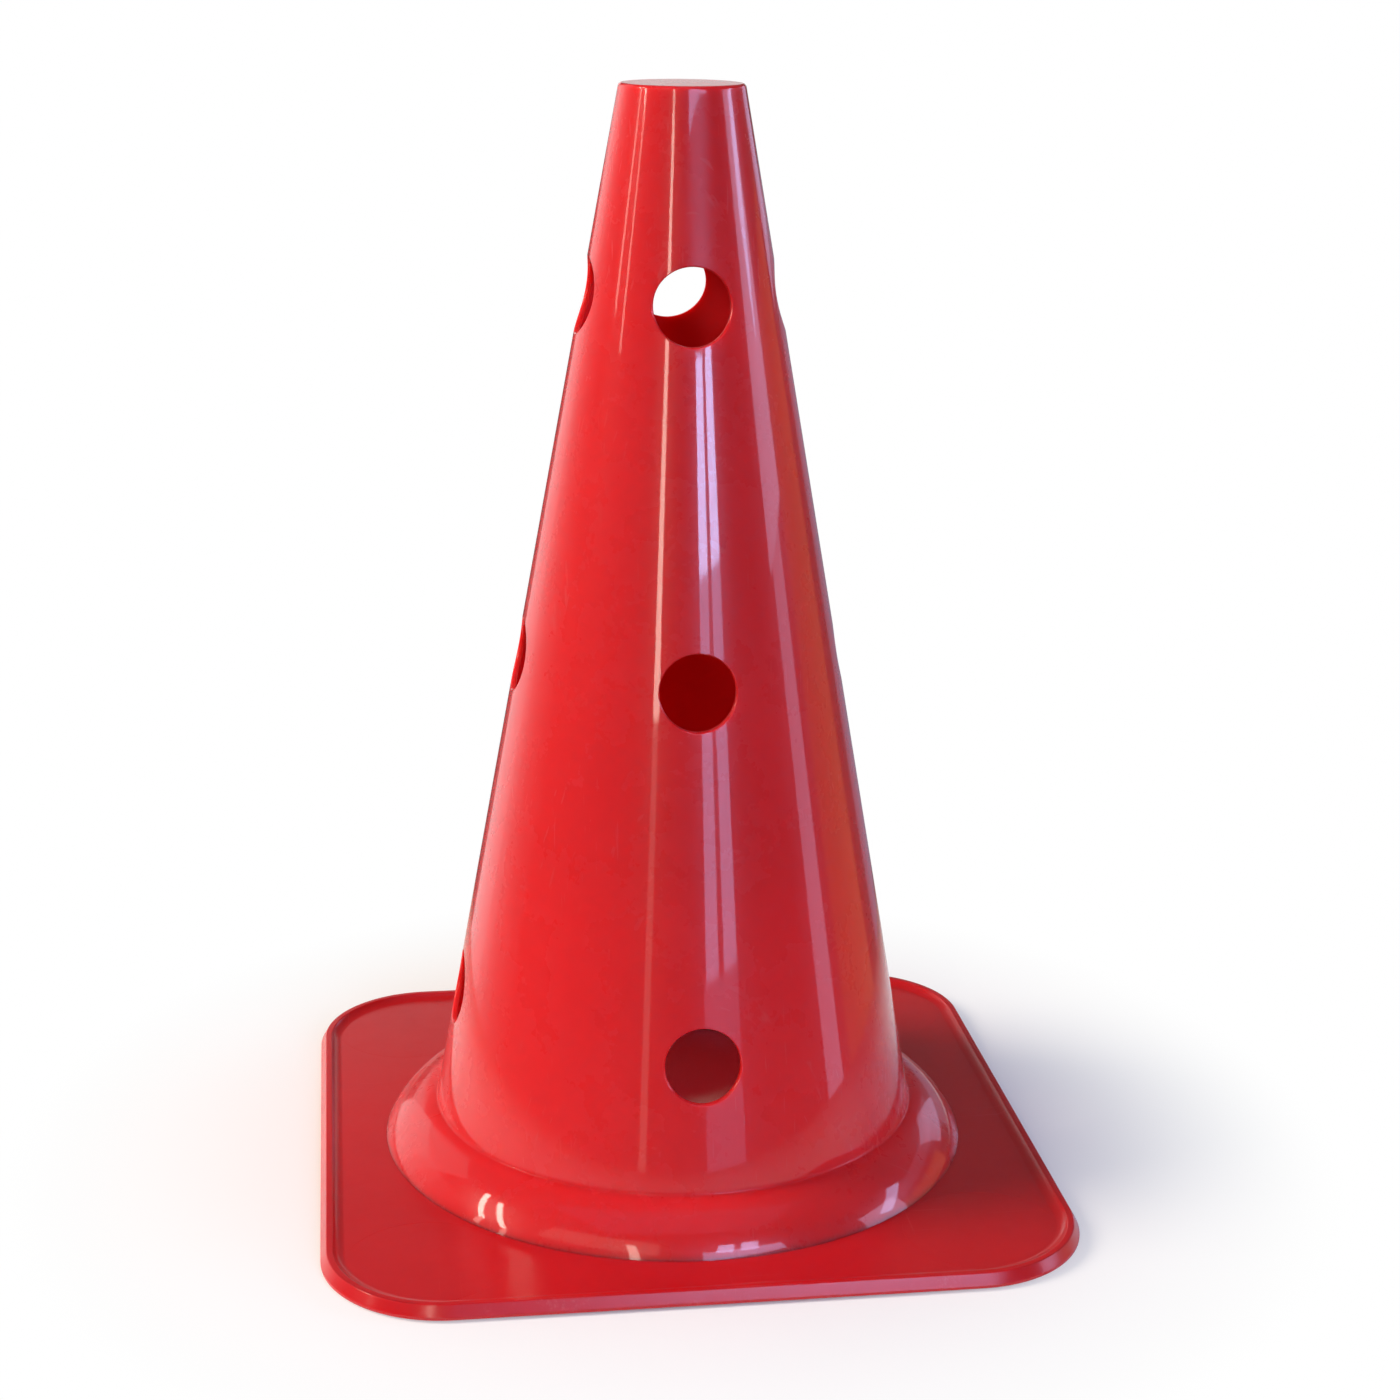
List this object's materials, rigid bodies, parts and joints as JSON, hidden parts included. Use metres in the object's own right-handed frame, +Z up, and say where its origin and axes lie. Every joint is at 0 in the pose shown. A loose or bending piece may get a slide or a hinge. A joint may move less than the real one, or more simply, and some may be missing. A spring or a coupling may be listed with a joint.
{
  "type": "sports marker cone",
  "caption": "Tall plastic marker cone with round pole holes up its sides, a collar at its foot and a square rimmed base on grip pads; marks a pitch or holds agility poles.",
  "frame": {"origin": "on the floor under the cone's axis, at the middle of the square base", "axes": "+Z up along the cone's axis; X and Y along the edges of the base and along the pole holes; the side seen in the picture faces -Y"},
  "size_m": [0.273, 0.273, 0.4],
  "materials": {
    "cone_plastic": "glossy moulded",
    "tray_plastic": "glossy moulded",
    "pad_rubber": "matte"
  },
  "bodies": {
    "root": {"cone_body": "cone_plastic", "base_tray": "tray_plastic", "foot_pad_front_left": "pad_rubber", "foot_pad_front_right": "pad_rubber", "foot_pad_back_left": "pad_rubber", "foot_pad_back_right": "pad_rubber"}
  },
  "joints": []
}
